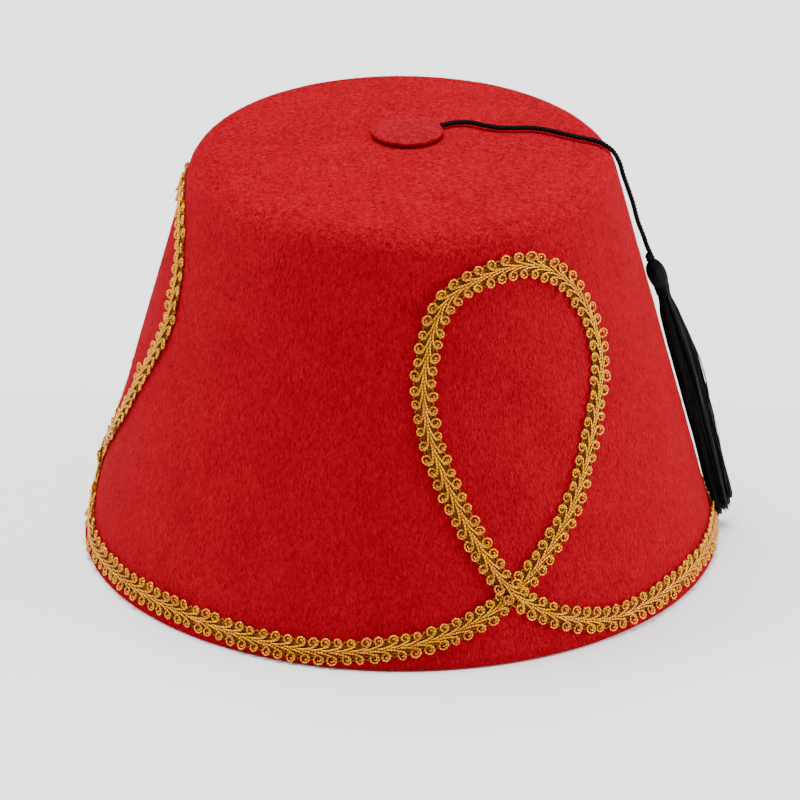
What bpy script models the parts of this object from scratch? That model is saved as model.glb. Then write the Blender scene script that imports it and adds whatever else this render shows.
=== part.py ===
"""A red felt fez with a looped gold scroll braid, a felt button and a black cord and tassel.

Metres, +Z up. The origin is the middle of the open rim, on the level that the hat stands on,
and the front of the hat faces -Y. Angles round the hat are in degrees from +X towards +Y.
"""

import math

import bmesh
import bpy
from mathutils import Vector

# Crown
RIM_RADIUS = 0.095            # felt's outer face at the open rim
CROWN_HEIGHT = 0.128          # rim to the middle of the top
WALL_LEAN = 15.0              # degrees that the wall leans in from upright
SHOULDER_RADIUS = 0.010       # outer rounding between the wall and the top
TOP_EDGE_SLOPE = 6.5          # degrees that the top falls away at its edge
FELT_THICKNESS = 0.002
CROWN_SIDES = 72

# Fits
TOUCH_GAP = 0.0003            # between pieces that lie against each other

# Button
BUTTON_RADIUS = 0.01075
BUTTON_THICKNESS = 0.0016
BUTTON_EDGE = 0.0004          # rounding of the disc's edges
BUTTON_X = 0.0012
BUTTON_Y = 0.004
BUTTON_SIDES = 40

# Braid
BRAID_WIDTH = 0.008
BRAID_PITCH = 0.0038          # one pair of scrolls
BRAID_STEM_HEIGHT = 0.0015    # plaited stem along the middle
BRAID_SCROLL_HEIGHT = 0.0010  # scrolls along both sides
BRAID_MOTIFS = 3
CROSSING_REACH = 0.0056       # half the length that lies raised over the strand below
CROSSING_RAMP = 0.0075        # length in which the upper strand climbs and comes down

# Cord
CORD_DIAMETER = 0.0016
CORD_SPACING = 0.0034         # between the points of the cord's curve
KNOT_DIAMETER = 0.0032

# Tassel, on the wall at the wearer's side
TASSEL_TOP = 0.0857           # height of the head's crown above the rim
TASSEL_LENGTH = 0.0835
TASSEL_DEPTH = 0.0080         # through the skirt at its fullest, square to the wall
TASSEL_WIDTH = 0.0096         # across the skirt at its fullest, along the wall
TASSEL_ANGLE = 7.3            # where the head hangs, round the hat
TASSEL_SWING = -2.3           # degrees from there to where the skirt's end lies
TASSEL_SIDES = 10
LOCK_SIDES = 6

# Fineness of the curves that the pieces follow
ROUTE_STEPS = 24              # points between two rows of BRAID_ROUTE
CORD_STEPS = 10               # points between two of CORD_ROUTE
SHARP_ANGLE = 40.0            # degrees between two faces past which their edge is sharp

# Colours as Blender's linear values, with roughness
FELT_RED = ((0.55, 0.012, 0.018), 0.95)
BUTTON_RED = ((0.50, 0.020, 0.030), 0.95)
BRAID_GOLD = ((0.62, 0.33, 0.055), 0.45)
THREAD_BLACK = ((0.006, 0.006, 0.007), 0.6)

# One motif of the braid's route, in the order in which the strip is laid:
# angle in degrees, and height as a share of CROWN_HEIGHT
BRAID_ROUTE = (
    (13.0, 0.036),
    (-10.0, 0.051),
    (-30.0, 0.048),
    (-45.0, 0.044),
    (-52.0, 0.059),
    (-60.5, 0.097),
    (-69.0, 0.166),
    (-75.0, 0.270),
    (-80.0, 0.403),
    (-83.8, 0.545),
    (-84.5, 0.679),
    (-79.5, 0.822),
    (-67.0, 0.881),
    (-53.0, 0.873),
    (-42.0, 0.782),
    (-39.0, 0.632),
    (-46.0, 0.474),
    (-55.5, 0.316),
    (-69.0, 0.166),
    (-79.0, 0.103),
    (-90.0, 0.062),
)
OVER_ROW = 6                  # row of BRAID_ROUTE where the strip lies on top at its crossing
MOTIF_TURN = -360.0 / BRAID_MOTIFS

# Rows of the braid's cross-section: place across the width as a share of its half, and the
# height as shares of the scroll's height and of the stem's height
BRAID_SECTION = (
    (-1.0, 0.0, 0.0),
    (1.0, 0.0, 0.0),
    (0.62, 1.0, 0.0),
    (0.0, 0.0, 1.0),
    (-0.62, 1.0, 0.0),
)
SCALLOP = 0.84                # the width between two scrolls as a share of the full width

# The cord's route from the button's edge over the top and down the side
CORD_ROUTE = (
    (0.01117, 0.00876, 0.12905),
    (0.01330, 0.01020, 0.12895),
    (0.01590, 0.01150, 0.12885),
    (0.01990, 0.01170, 0.12875),
    (0.02440, 0.00980, 0.12860),
    (0.02840, 0.00870, 0.12840),
    (0.03250, 0.00910, 0.12815),
    (0.03700, 0.01010, 0.12780),
    (0.04150, 0.00990, 0.12745),
    (0.04660, 0.00800, 0.12705),
    (0.05150, 0.00640, 0.12650),
    (0.05490, 0.00570, 0.12610),
    (0.05850, 0.00560, 0.12510),
    (0.06210, 0.00670, 0.12210),
    (0.06430, 0.00790, 0.11780),
    (0.06550, 0.00840, 0.11350),
    (0.06700, 0.00860, 0.10900),
    (0.06860, 0.00880, 0.10400),
    (0.07000, 0.00900, 0.09850),
    (0.07180, 0.00920, 0.09350),
    (0.07300, 0.00930, 0.08990),
)

# Rows of the tassel's head and neck, from the top: place as a share of TASSEL_LENGTH,
# distance of the middle from the wall and half thickness as shares of TASSEL_DEPTH
HEAD_SECTIONS = (
    (0.000, 0.36, 0.06),
    (0.009, 0.38, 0.21),
    (0.030, 0.44, 0.345),
    (0.058, 0.46, 0.385),
    (0.086, 0.46, 0.355),
    (0.112, 0.46, 0.285),
    (0.140, 0.46, 0.250),
    (0.185, 0.44, 0.260),
)

# Rows of the tassel's skirt, from the neck: place as a share of TASSEL_LENGTH, distance of
# the middle from the wall as a share of TASSEL_DEPTH, and fullness as a share of the whole
SKIRT_SECTIONS = (
    (0.120, 0.46, 0.40),
    (0.180, 0.43, 0.56),
    (0.280, 0.46, 0.78),
    (0.430, 0.54, 0.97),
    (0.590, 0.56, 1.00),
    (0.740, 0.54, 0.94),
    (0.870, 0.55, 0.86),
    (1.000, 0.60, 0.70),
)

# Rows of the locks round the skirt's middle one: where it lies round the bundle in degrees,
# with 0 away from the wall, and its length as a share of TASSEL_LENGTH
LOCKS = (
    (0.0, 0.955),
    (60.0, 0.980),
    (120.0, 0.945),
    (180.0, 0.885),
    (240.0, 0.940),
    (300.0, 0.990),
)
LOCK_RING = 0.60              # from the skirt's middle to a lock's, as a share of the half depth
LOCK_SIZE = 0.44              # a lock's half thickness as a share of the skirt's half depth
LOCK_TIP = 0.45               # a lock's end as a share of its thickness before it


def clear_scene():
    """Remove every object of the scene."""
    for old in list(bpy.data.objects):
        bpy.data.objects.remove(old, do_unlink=True)


def material(name, finish):
    """A plain material of one colour and roughness."""
    colour, roughness = finish
    result = bpy.data.materials.new(name)
    result.use_nodes = True
    shader = result.node_tree.nodes["Principled BSDF"]
    shader.inputs["Base Color"].default_value = (*colour, 1.0)
    shader.inputs["Roughness"].default_value = roughness
    shader.inputs["Metallic"].default_value = 0.0
    return result


def add_object(name, mesh_data, finish):
    """Put finished mesh data into the scene as one named object."""
    piece = bpy.data.objects.new(name, mesh_data)
    bpy.context.scene.collection.objects.link(piece)
    mesh_data.materials.append(material(name + "_finish", finish))
    return piece


def mesh_from(bm, name):
    """Turn a bmesh into mesh data with its faces pointing out and shaded smooth."""
    bmesh.ops.recalc_face_normals(bm, faces=bm.faces)
    data = bpy.data.meshes.new(name)
    bm.to_mesh(data)
    bm.free()
    data.shade_smooth()
    data.set_sharp_from_angle(angle=math.radians(SHARP_ANGLE))
    return data


def turned(name, profile, sides):
    """Spin an outline of (radius, height) points, with both its ends on the axis."""
    bm = bmesh.new()
    points = [bm.verts.new((radius, 0.0, height)) for radius, height in profile]
    edges = [bm.edges.new(pair) for pair in zip(points, points[1:])]
    bmesh.ops.spin(bm, geom=points + edges, cent=(0, 0, 0), axis=(0, 0, 1),
                   angle=math.tau, steps=sides, use_merge=True)
    bmesh.ops.remove_doubles(bm, verts=bm.verts, dist=1e-6)
    return mesh_from(bm, name)


def lofted(name, rings):
    """Skin a row of rings, with as many points in each, and close both ends."""
    bm = bmesh.new()
    rows = [[bm.verts.new(point) for point in ring] for ring in rings]
    for near, far in zip(rows, rows[1:]):
        for i in range(len(near)):
            j = (i + 1) % len(near)
            bm.faces.new((near[i], near[j], far[j], far[i]))
    bm.faces.new(rows[0])
    bm.faces.new(rows[-1])
    return mesh_from(bm, name)


def shoulder_centre():
    """Radius and height of the middle of the shoulder's rounding, in the crown's section."""
    lean = math.radians(WALL_LEAN)
    slope = math.radians(TOP_EDGE_SLOPE)
    reach = RIM_RADIUS - SHOULDER_RADIUS / math.cos(lean)
    half = math.tan(slope / 2)
    rise = SHOULDER_RADIUS * (math.cos(slope) + math.sin(slope) * half)
    height = (CROWN_HEIGHT - reach * half - rise) / (1 - math.tan(lean) * half)
    return reach - height * math.tan(lean), height


def crown_outline(inset, shoulder_steps, top_steps):
    """Section of the crown from the rim to the middle of the top, below the outer face."""
    lean = math.radians(WALL_LEAN)
    slope = math.radians(TOP_EDGE_SLOPE)
    centre_radius, centre_height = shoulder_centre()
    rounding = SHOULDER_RADIUS - inset
    outline = [(RIM_RADIUS - inset / math.cos(lean), 0.0)]
    for step in range(shoulder_steps + 1):
        turn = lean + (math.pi / 2 - slope - lean) * step / shoulder_steps
        outline.append((centre_radius + rounding * math.cos(turn),
                        centre_height + rounding * math.sin(turn)))
    edge_radius, edge_height = outline[-1]
    cap_radius = edge_radius / math.sin(slope)
    cap_centre = edge_height - cap_radius * math.cos(slope)
    for step in range(1, top_steps + 1):
        turn = slope * (1 - step / top_steps)
        outline.append((cap_radius * math.sin(turn), cap_centre + cap_radius * math.cos(turn)))
    return outline


def on_wall(angle, height, proud):
    """A point at a distance from the felt's outer face, at an angle and height on the wall."""
    lean = math.radians(WALL_LEAN)
    turn = math.radians(angle)
    radius = RIM_RADIUS - height * math.tan(lean) + proud * math.cos(lean)
    return Vector((radius * math.cos(turn), radius * math.sin(turn),
                   height + proud * math.sin(lean)))


def spline_point(points, place):
    """A point on the smooth curve through a row of equally weighted points."""
    index = min(int(place), len(points) - 2)
    part = place - index
    before = points[max(index - 1, 0)]
    start = points[index]
    end = points[index + 1]
    after = points[min(index + 2, len(points) - 1)]
    return (start * 2 + (end - before) * part
            + (before * 2 - start * 5 + end * 4 - after) * part ** 2
            + (start * 3 - before - end * 3 + after) * part ** 3) * 0.5


def lengths_along(points):
    """The distance along a row of points to each of them."""
    total = [0.0]
    for near, far in zip(points, points[1:]):
        total.append(total[-1] + (far - near).length)
    return total


def place_at(lengths, distance):
    """Where a distance along a row of points falls, in whole steps and a part."""
    index = 0
    while index < len(lengths) - 2 and lengths[index + 1] < distance:
        index += 1
    return index + (distance - lengths[index]) / (lengths[index + 1] - lengths[index])


def between(values, place):
    """A value of a row, worked out between two of its entries."""
    index = min(int(place), len(values) - 2)
    part = place - index
    return values[index] * (1 - part) + values[index + 1] * part


def braid_route():
    """The strip's middle as fine (angle, height) pairs, and where it lies on top."""
    rows = []
    for motif in range(BRAID_MOTIFS + 2):
        for angle, share in BRAID_ROUTE:
            rows.append(Vector((angle + MOTIF_TURN * motif, share * CROWN_HEIGHT)))
    first = len(BRAID_ROUTE)
    count = BRAID_MOTIFS * len(BRAID_ROUTE) * ROUTE_STEPS
    route = [spline_point(rows, first + step / ROUTE_STEPS) for step in range(count + 1)]
    crossings = [(motif * first + OVER_ROW) * ROUTE_STEPS for motif in range(BRAID_MOTIFS)]
    return route, crossings


def raised(distance, crossing_lengths):
    """How far the strip is lifted where it passes over the strand below it."""
    lift = BRAID_STEM_HEIGHT + TOUCH_GAP
    result = 0.0
    for crossing in crossing_lengths:
        away = abs(distance - crossing) - CROSSING_REACH
        part = min(max(1 - away / CROSSING_RAMP, 0.0), 1.0)
        result = max(result, lift * part * part * (3 - 2 * part))
    return result


def build_crown():
    """The hollow felt body: its outer face, its inner face and the flat rim between them."""
    outer = crown_outline(0.0, shoulder_steps=4, top_steps=3)
    inner = crown_outline(FELT_THICKNESS, shoulder_steps=3, top_steps=3)
    return add_object("crown", turned("crown", outer[::-1] + inner, CROWN_SIDES), FELT_RED)


def build_button():
    """The felt disc on the middle of the top."""
    outline = (
        (0.0, 0.0),
        (BUTTON_RADIUS - BUTTON_EDGE, 0.0),
        (BUTTON_RADIUS, BUTTON_EDGE),
        (BUTTON_RADIUS, BUTTON_THICKNESS - BUTTON_EDGE),
        (BUTTON_RADIUS - BUTTON_EDGE, BUTTON_THICKNESS),
        (0.0, BUTTON_THICKNESS),
    )
    button = add_object("button", turned("button", outline, BUTTON_SIDES), BUTTON_RED)
    button.location = (BUTTON_X, BUTTON_Y, CROWN_HEIGHT + TOUCH_GAP)
    return button


def build_braid():
    """The one long strip, its two ends butted together at the rim."""
    route, crossings = braid_route()
    points = [on_wall(angle, height, TOUCH_GAP) for angle, height in route]
    lengths = lengths_along(points)
    crossing_lengths = [lengths[index] for index in crossings]
    pitches = round((lengths[-1] - TOUCH_GAP) / BRAID_PITCH)
    spacing = (lengths[-1] - TOUCH_GAP) / (2 * pitches)
    rings = []
    for station in range(2 * pitches + 1):
        distance = TOUCH_GAP / 2 + station * spacing
        place = place_at(lengths, distance)
        angle, height = between(route, place)
        middle = on_wall(angle, height, 0.0)
        ahead = between(points, min(place + 1, len(points) - 1))
        behind = between(points, max(place - 1, 0))
        outward = (on_wall(angle, height, 1.0) - middle).normalized()
        along = (ahead - behind).normalized()
        across = outward.cross(along)
        round_hat = Vector((-math.sin(math.radians(angle)), math.cos(math.radians(angle)), 0))
        up_wall = outward.cross(round_hat)
        lift = TOUCH_GAP + raised(distance, crossing_lengths)
        full = BRAID_WIDTH / 2 * (1.0 if station % 2 else SCALLOP)
        ring = []
        for share, scroll, stem in BRAID_SECTION:
            side = share * full
            turn = math.degrees(side * across.dot(round_hat) / middle.to_2d().length)
            rise = side * across.dot(up_wall) * math.cos(math.radians(WALL_LEAN))
            proud = lift + scroll * BRAID_SCROLL_HEIGHT + stem * BRAID_STEM_HEIGHT
            ring.append(on_wall(angle + turn, height + rise, proud))
        rings.append(ring)
    return add_object("braid", lofted("braid", rings), BRAID_GOLD)


def build_cord():
    """The hanging cord, a round tube along the smooth curve through its chosen points."""
    chosen = [Vector(point) for point in CORD_ROUTE]
    fine_count = (len(chosen) - 1) * CORD_STEPS
    fine = [spline_point(chosen, step / CORD_STEPS) for step in range(fine_count + 1)]
    lengths = lengths_along(fine)
    count = round(lengths[-1] / CORD_SPACING)
    curve = bpy.data.curves.new("cord", "CURVE")
    curve.dimensions = "3D"
    curve.bevel_depth = CORD_DIAMETER / 2
    curve.bevel_resolution = 2
    curve.use_fill_caps = True
    spline = curve.splines.new("POLY")
    spline.points.add(count)
    for index in range(count + 1):
        point = between(fine, place_at(lengths, lengths[-1] * index / count))
        spline.points[index].co = (*point, 1.0)
    return add_object("cord", curve, THREAD_BLACK)


def tassel_frame(share, distance_share):
    """A point of the tassel's middle line, and the two directions across it."""
    lean = math.radians(WALL_LEAN)
    height = TASSEL_TOP - share * TASSEL_LENGTH * math.cos(lean)
    angle = TASSEL_ANGLE + TASSEL_SWING * share
    middle = on_wall(angle, height, distance_share * TASSEL_DEPTH)
    outward = (on_wall(angle, height, 1.0) - on_wall(angle, height, 0.0)).normalized()
    turn = math.radians(angle)
    return middle, outward, Vector((-math.sin(turn), math.cos(turn), 0.0))


def oval(middle, outward, sideways, deep, wide, sides):
    """A ring of points round a middle, with its own half sizes in the two directions."""
    return [middle + outward * (deep * math.cos(math.tau * side / sides))
            + sideways * (wide * math.sin(math.tau * side / sides)) for side in range(sides)]


def build_knot():
    """The small knot that ends the cord, just above the tassel's head."""
    radius = KNOT_DIAMETER / 2
    bm = bmesh.new()
    bmesh.ops.create_uvsphere(bm, u_segments=12, v_segments=8, radius=radius)
    knot = add_object("tassel_knot", mesh_from(bm, "tassel_knot"), THREAD_BLACK)
    lean = math.radians(WALL_LEAN)
    height = TASSEL_TOP + (radius + TOUCH_GAP) * math.cos(lean)
    knot.location = on_wall(TASSEL_ANGLE, height, HEAD_SECTIONS[0][1] * TASSEL_DEPTH)
    knot.rotation_euler = (0.0, -lean, math.radians(TASSEL_ANGLE))
    return knot


def head_mesh():
    """The tassel's round head and its tied neck."""
    rings = []
    for share, distance, half in HEAD_SECTIONS:
        middle, outward, sideways = tassel_frame(share, distance)
        size = half * TASSEL_DEPTH
        rings.append(oval(middle, outward, sideways, size, size, TASSEL_SIDES))
    return lofted("tassel", rings)


def lock_mesh(round_bundle, length_share, ring_share):
    """One lock of threads, from inside the neck down to its cut end."""
    turn = math.radians(round_bundle)
    top = SKIRT_SECTIONS[0][0]
    rings = []
    for share, distance, fullness in SKIRT_SECTIONS:
        place = top + (share - top) * (length_share - top) / (1 - top)
        middle, outward, sideways = tassel_frame(place, distance)
        deep = fullness * TASSEL_DEPTH / 2
        wide = fullness * TASSEL_WIDTH / 2
        middle += outward * (ring_share * deep * math.cos(turn))
        middle += sideways * (ring_share * wide * math.sin(turn))
        tip = LOCK_TIP if share == SKIRT_SECTIONS[-1][0] else 1.0
        rings.append(oval(middle, outward, sideways, LOCK_SIZE * deep * tip,
                          LOCK_SIZE * wide * tip, LOCK_SIDES))
    return lofted("tassel_lock", rings)


def build_tassel():
    """The head with its locks fused to it."""
    tassel = add_object("tassel", head_mesh(), THREAD_BLACK)
    locks = [(0.0, 1.0, 0.0)] + [(turn, length, LOCK_RING) for turn, length in LOCKS]
    for number, (turn, length, ring_share) in enumerate(locks):
        lock = add_object(f"tassel_lock_{number}", lock_mesh(turn, length, ring_share),
                          THREAD_BLACK)
        lock.hide_render = True
        lock.display_type = "WIRE"
        union = tassel.modifiers.new(f"lock_{number}", "BOOLEAN")
        union.operation = "UNION"
        union.solver = "EXACT"
        union.object = lock
    return tassel


def main():
    """Build the hat's pieces."""
    clear_scene()
    build_crown()
    build_button()
    build_braid()
    build_cord()
    build_knot()
    build_tassel()


main()
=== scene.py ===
"""The looks of a red felt fez: napped felt, gold scroll braid, and a black cord and tassel.

Metres, +Z up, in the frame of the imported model. The hat's front faces -Y, and angles round it
are in degrees from +X towards +Y. The braid's fine pieces are laid out on a flat strip, with
one coordinate along it, one across it and one up from the felt, and then bent onto the wall.
"""

import logging
import math
from dataclasses import dataclass, field
from enum import Enum

import bmesh
import bpy
import numpy as np
from mathutils import Matrix, Vector, noise


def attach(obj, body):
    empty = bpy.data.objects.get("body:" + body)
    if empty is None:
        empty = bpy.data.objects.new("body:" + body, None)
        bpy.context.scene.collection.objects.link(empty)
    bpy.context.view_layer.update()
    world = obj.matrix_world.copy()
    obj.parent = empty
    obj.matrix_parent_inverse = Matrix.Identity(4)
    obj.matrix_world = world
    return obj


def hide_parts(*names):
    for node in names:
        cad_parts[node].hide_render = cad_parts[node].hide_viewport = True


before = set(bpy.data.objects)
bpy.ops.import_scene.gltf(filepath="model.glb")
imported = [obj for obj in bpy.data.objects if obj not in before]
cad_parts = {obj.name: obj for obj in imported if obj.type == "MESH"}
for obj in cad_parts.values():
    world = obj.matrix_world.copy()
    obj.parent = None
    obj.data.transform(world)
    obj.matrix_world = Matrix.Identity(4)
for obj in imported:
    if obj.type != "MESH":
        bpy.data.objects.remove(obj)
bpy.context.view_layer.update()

log = logging.getLogger("fez")
logging.basicConfig(level=logging.INFO, format="%(name)s: %(message)s")

MM = 0.001
BODY = "root"

# One motif of the braid's route, in the order in which the strip is laid: angle in degrees,
# and height as a share of the crown's. It is the solid strip's route, with each row moved by
# up to 1.3 mm to where the photo shows the stem.
BRAID_ROUTE: tuple[tuple[float, float], ...] = (
    (13.0, 0.036), (-10.0, 0.046), (-30.0, 0.047), (-45.0, 0.043), (-52.2, 0.053),
    (-60.6, 0.090), (-68.6, 0.158), (-74.6, 0.270), (-80.0, 0.403), (-84.3, 0.545),
    (-84.7, 0.679), (-79.5, 0.819), (-66.9, 0.873), (-53.4, 0.866), (-42.4, 0.780),
    (-38.7, 0.631), (-45.5, 0.471), (-54.8, 0.310), (-68.6, 0.158), (-78.7, 0.094),
    (-90.0, 0.058),
)

# The cord's route from the button's edge over the top and down the side
CORD_ROUTE: tuple[tuple[float, float, float], ...] = (
    (0.01117, 0.00876, 0.12905), (0.01330, 0.01020, 0.12895), (0.01590, 0.01150, 0.12885),
    (0.01990, 0.01170, 0.12875), (0.02440, 0.00980, 0.12860), (0.02840, 0.00870, 0.12840),
    (0.03250, 0.00910, 0.12815), (0.03700, 0.01010, 0.12780), (0.04150, 0.00990, 0.12745),
    (0.04660, 0.00800, 0.12705), (0.05150, 0.00640, 0.12650), (0.05490, 0.00570, 0.12610),
    (0.05850, 0.00560, 0.12510), (0.06210, 0.00670, 0.12210), (0.06430, 0.00790, 0.11780),
    (0.06550, 0.00840, 0.11350), (0.06700, 0.00860, 0.10900), (0.06860, 0.00880, 0.10400),
    (0.07000, 0.00900, 0.09850), (0.07180, 0.00920, 0.09350), (0.07300, 0.00930, 0.08990),
)


class Slot(Enum):
    """The record's material slots that the pieces' finishes belong to."""

    FELT = "felt"
    BUTTON = "button_felt"
    GOLD = "braid_gold"
    CORD = "cord_black"
    TASSEL = "tassel_black"


class Motif(Enum):
    """The three stretches of the braid, one for each loop, from the strip's first end."""

    FRONT_LEFT = 0
    BACK = 1
    FRONT_RIGHT = 2


def smooth_rise(part: np.ndarray) -> np.ndarray:
    """Ease a share from 0 to 1, flat at both ends."""
    part = np.clip(part, 0.0, 1.0)
    return part * part * (3.0 - 2.0 * part)


def spline_points(rows: np.ndarray, first: int, last: int, steps: int) -> np.ndarray:
    """Read points from the smooth curve through a table's rows.

    Args:
        rows: one row of values for each chosen point.
        first: the row where the reading starts.
        last: the row where it ends.
        steps: points from one row to the next.

    Returns:
        The points, one row each, with both end rows among them.
    """
    place = np.linspace(first, last, (last - first) * steps + 1)
    index = np.minimum(place.astype(int), len(rows) - 2)
    part = (place - index)[:, None]
    before = rows[np.maximum(index - 1, 0)]
    start = rows[index]
    end = rows[index + 1]
    after = rows[np.minimum(index + 2, len(rows) - 1)]
    return 0.5 * (start * 2 + (end - before) * part
                  + (before * 2 - start * 5 + end * 4 - after) * part ** 2
                  + (start * 3 - before - end * 3 + after) * part ** 3)


def lengths_along(points: np.ndarray) -> np.ndarray:
    """Give the distance along a row of points to each of them."""
    steps = np.linalg.norm(np.diff(points, axis=0), axis=1)
    return np.concatenate(([0.0], np.cumsum(steps)))


def read_at(points: np.ndarray, lengths: np.ndarray, distance: np.ndarray) -> np.ndarray:
    """Read a row of points at distances along it, between the points."""
    columns = [np.interp(distance, lengths, points[:, axis]) for axis in range(points.shape[1])]
    return np.stack(columns, axis=-1)


@dataclass(frozen=True)
class CrownForm:
    """The shape of the felt body, which every other piece lies on.

    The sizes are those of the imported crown.
    """

    rim_radius: float = 0.095
    height: float = 0.128
    lean_degrees: float = 15.0
    shoulder_radius: float = 0.010
    top_slope_degrees: float = 6.5
    thickness: float = 0.002

    @property
    def lean(self) -> float:
        """The wall's lean in radians."""
        return math.radians(self.lean_degrees)

    @property
    def top_slope(self) -> float:
        """The slope of the top at its edge, in radians."""
        return math.radians(self.top_slope_degrees)

    def shoulder_centre(self) -> tuple[float, float]:
        """Give the radius and height of the middle of the shoulder's rounding."""
        reach = self.rim_radius - self.shoulder_radius / math.cos(self.lean)
        half = math.tan(self.top_slope / 2)
        rise = self.shoulder_radius * (math.cos(self.top_slope) + math.sin(self.top_slope) * half)
        height = (self.height - reach * half - rise) / (1 - math.tan(self.lean) * half)
        return reach - height * math.tan(self.lean), height

    def outline(self, wall_steps: int, shoulder_steps: int, top_steps: int) -> np.ndarray:
        """Trace the outer face from the rim to near the middle of the top.

        Args:
            wall_steps: rings on the wall.
            shoulder_steps: rings round the shoulder.
            top_steps: rings on the top, the middle left out.

        Returns:
            One row of radius and height for each ring.
        """
        centre_radius, centre_height = self.shoulder_centre()
        turns = np.linspace(self.lean, math.pi / 2 - self.top_slope, shoulder_steps + 1)
        shoulder = np.stack((centre_radius + self.shoulder_radius * np.cos(turns),
                             centre_height + self.shoulder_radius * np.sin(turns)), axis=1)
        share = np.linspace(0.0, 1.0, wall_steps + 1)[:-1, None]
        wall = (1 - share) * np.array((self.rim_radius, 0.0)) + share * shoulder[0]
        cap_radius, cap_centre = self.cap()
        turns = np.linspace(self.top_slope, 0.0, top_steps + 1)[1:-1]
        top = np.stack((cap_radius * np.sin(turns), cap_centre + cap_radius * np.cos(turns)),
                       axis=1)
        return np.concatenate((wall, shoulder, top))

    def cap(self) -> tuple[float, float]:
        """Give the radius of the domed top's ball, and the height of its middle."""
        centre_radius, centre_height = self.shoulder_centre()
        edge_radius = centre_radius + self.shoulder_radius * math.sin(self.top_slope)
        edge_height = centre_height + self.shoulder_radius * math.cos(self.top_slope)
        cap_radius = edge_radius / math.sin(self.top_slope)
        return cap_radius, edge_height - cap_radius * math.cos(self.top_slope)

    def on_wall(self, angle: np.ndarray, height: np.ndarray, proud: np.ndarray) -> np.ndarray:
        """Place points on the wall.

        Args:
            angle: degrees round the hat.
            height: height of the wall's point.
            proud: distance out from the felt's face.

        Returns:
            The points, with x, y and z on the last axis.
        """
        turn = np.radians(angle)
        radius = self.rim_radius - height * math.tan(self.lean) + proud * math.cos(self.lean)
        return np.stack(np.broadcast_arrays(radius * np.cos(turn), radius * np.sin(turn),
                                            height + proud * math.sin(self.lean)), axis=-1)

    def wall_directions(self, angle: np.ndarray) -> tuple[np.ndarray, np.ndarray, np.ndarray]:
        """Give the directions out of the wall, round the hat and up the wall at an angle."""
        turn = np.radians(angle)
        level = np.zeros_like(turn)
        out_share, up_share = math.cos(self.lean), math.sin(self.lean)
        outward = np.stack((np.cos(turn) * out_share, np.sin(turn) * out_share,
                            level + up_share), axis=-1)
        round_hat = np.stack((-np.sin(turn), np.cos(turn), level), axis=-1)
        up_wall = np.stack((-np.cos(turn) * up_share, -np.sin(turn) * up_share,
                            level + out_share), axis=-1)
        return outward, round_hat, up_wall


def unit(vectors: np.ndarray) -> np.ndarray:
    """Scale vectors to a length of one."""
    return vectors / np.maximum(np.linalg.norm(vectors, axis=-1, keepdims=True), 1e-12)


@dataclass
class Strands:
    """Many tubes of one make, gathered up and then made one mesh."""

    name: str
    points: list[np.ndarray] = field(default_factory=list)
    faces: list[np.ndarray] = field(default_factory=list)
    wraps: list[np.ndarray] = field(default_factory=list)
    count: int = 0

    def add(self, paths: np.ndarray, ups: np.ndarray, radii: np.ndarray, sides: int,
            flat: float = 1.0) -> None:
        """Add tubes that all have as many stations.

        Args:
            paths: the middle lines, as strands by stations by three.
            ups: for each station a direction that isn't along the line.
            radii: the half thickness at each station.
            sides: faces round a tube.
            flat: thickness along ups as a share of that across.
        """
        strands, stations = paths.shape[:2]
        along = unit(np.gradient(paths, axis=1))
        across = unit(np.cross(along, ups))
        lifted = np.cross(across, along)
        turn = np.arange(sides) * (math.tau / sides)
        ring = (across[:, :, None, :] * np.cos(turn)[None, None, :, None]
                + lifted[:, :, None, :] * (flat * np.sin(turn))[None, None, :, None])
        points = paths[:, :, None, :] + ring * radii[:, :, None, None]
        self.points.append(points.reshape(-1, 3))
        run = np.linalg.norm(np.diff(paths, axis=1), axis=2)
        run = np.concatenate((np.zeros((strands, 1)), np.cumsum(run, axis=1)), axis=1)
        side = np.arange(sides)
        station = np.arange(stations - 1)
        first = (np.arange(strands) * stations * sides)[:, None, None] + self.count
        near = first + station[None, :, None] * sides
        corner = np.stack((near + side, near + (side + 1) % sides,
                           near + sides + (side + 1) % sides, near + sides + side), axis=-1)
        start = np.broadcast_to(run[:, :-1, None], corner.shape[:3])
        end = np.broadcast_to(run[:, 1:, None], corner.shape[:3])
        low = np.broadcast_to(side / sides, corner.shape[:3])
        high = low + 1.0 / sides
        wrap = np.stack((np.stack((start, low), -1), np.stack((start, high), -1),
                         np.stack((end, high), -1), np.stack((end, low), -1)), axis=3)
        self.faces.append(corner.reshape(-1, 4))
        self.wraps.append(wrap.reshape(-1, 2))
        starts = first[:, 0, :] + side[::-1]
        ends = first[:, 0, :] + (stations - 1) * sides + side
        caps = np.concatenate((starts, ends))
        self.faces.append(caps)
        self.wraps.append(np.zeros((caps.size, 2)))
        self.count += strands * stations * sides

    def build(self) -> bpy.types.Object:
        """Make one mesh object of all the tubes, with each tube's own length as its UV map."""
        data = bpy.data.meshes.new(self.name)
        corners = np.concatenate([faces.reshape(-1) for faces in self.faces]).astype(np.int32)
        totals = np.concatenate([np.full(len(faces), faces.shape[1]) for faces in self.faces])
        starts = np.concatenate(([0], np.cumsum(totals)[:-1]))
        points = np.concatenate(self.points)
        data.vertices.add(len(points))
        data.vertices.foreach_set("co", points.astype(np.float32).reshape(-1))
        data.loops.add(len(corners))
        data.loops.foreach_set("vertex_index", corners)
        data.polygons.add(len(totals))
        data.polygons.foreach_set("loop_start", starts.astype(np.int32))
        data.update(calc_edges=True)
        layer = data.uv_layers.new(name="thread")
        layer.data.foreach_set("uv", np.concatenate(self.wraps).astype(np.float32).reshape(-1))
        data.validate()
        data.shade_smooth()
        piece = bpy.data.objects.new(self.name, data)
        bpy.context.scene.collection.objects.link(piece)
        return piece


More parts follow.
